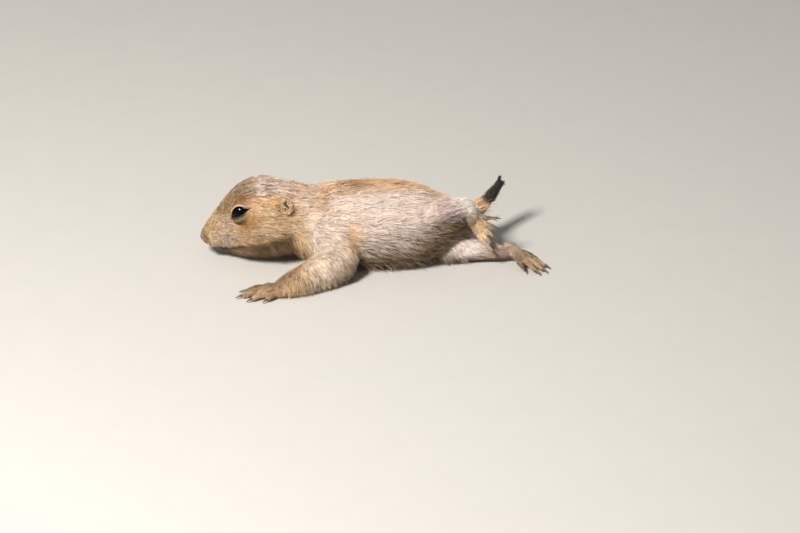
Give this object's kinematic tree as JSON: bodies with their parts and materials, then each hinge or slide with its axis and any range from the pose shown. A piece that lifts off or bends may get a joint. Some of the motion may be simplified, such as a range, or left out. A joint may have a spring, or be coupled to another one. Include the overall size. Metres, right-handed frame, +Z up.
{
  "type": "prairie dog",
  "caption": "Young black-tailed prairie dog lying stretched out on its belly, one foreleg reached forward and the hind legs stretched back.",
  "frame": {"origin": "on the floor, at the middle of the bounding box seen from above", "axes": "+X from nose to hind toes, along the body; +Y to the animal's right side; +Z up"},
  "size_m": [0.1892, 0.0976, 0.0463],
  "materials": {
    "fur": "short buff fur, paler below",
    "black_fur": "black brush of the tail",
    "foot_skin": "thinly furred buff skin",
    "ear_skin": "thinly furred ochre skin",
    "nose_leather": "bare, slightly damp skin",
    "eye": "wet black",
    "claw": "smooth horn"
  },
  "bodies": {
    "root": {"left_eye": "eye", "left_ear": "ear_skin", "right_eye": "eye", "right_ear": "ear_skin", "nose": "nose_leather", "head": "fur", "torso": "fur", "neck": "fur", "left_upper_arm": "fur", "right_upper_arm": "fur", "left_thigh": "fur", "right_thigh": "fur", "left_forearm": "fur", "right_forearm": "fur", "left_shank": "fur", "right_shank": "fur", "tail_base": "fur", "tail_tip": "black_fur", "left_forefoot": "foot_skin", "right_forefoot": "foot_skin", "left_hindfoot": "foot_skin", "right_hindfoot": "foot_skin", "left_forefoot_claw_1": "claw", "left_forefoot_claw_2": "claw", "left_forefoot_claw_3": "claw", "left_forefoot_claw_4": "claw", "left_forefoot_claw_5": "claw", "right_forefoot_claw_1": "claw", "right_forefoot_claw_2": "claw", "right_forefoot_claw_3": "claw", "right_forefoot_claw_4": "claw", "right_forefoot_claw_5": "claw", "left_hindfoot_claw_1": "claw", "left_hindfoot_claw_2": "claw", "left_hindfoot_claw_3": "claw", "left_hindfoot_claw_4": "claw", "left_hindfoot_claw_5": "claw", "right_hindfoot_claw_1": "claw", "right_hindfoot_claw_2": "claw", "right_hindfoot_claw_3": "claw", "right_hindfoot_claw_4": "claw", "right_hindfoot_claw_5": "claw"}
  },
  "joints": []
}
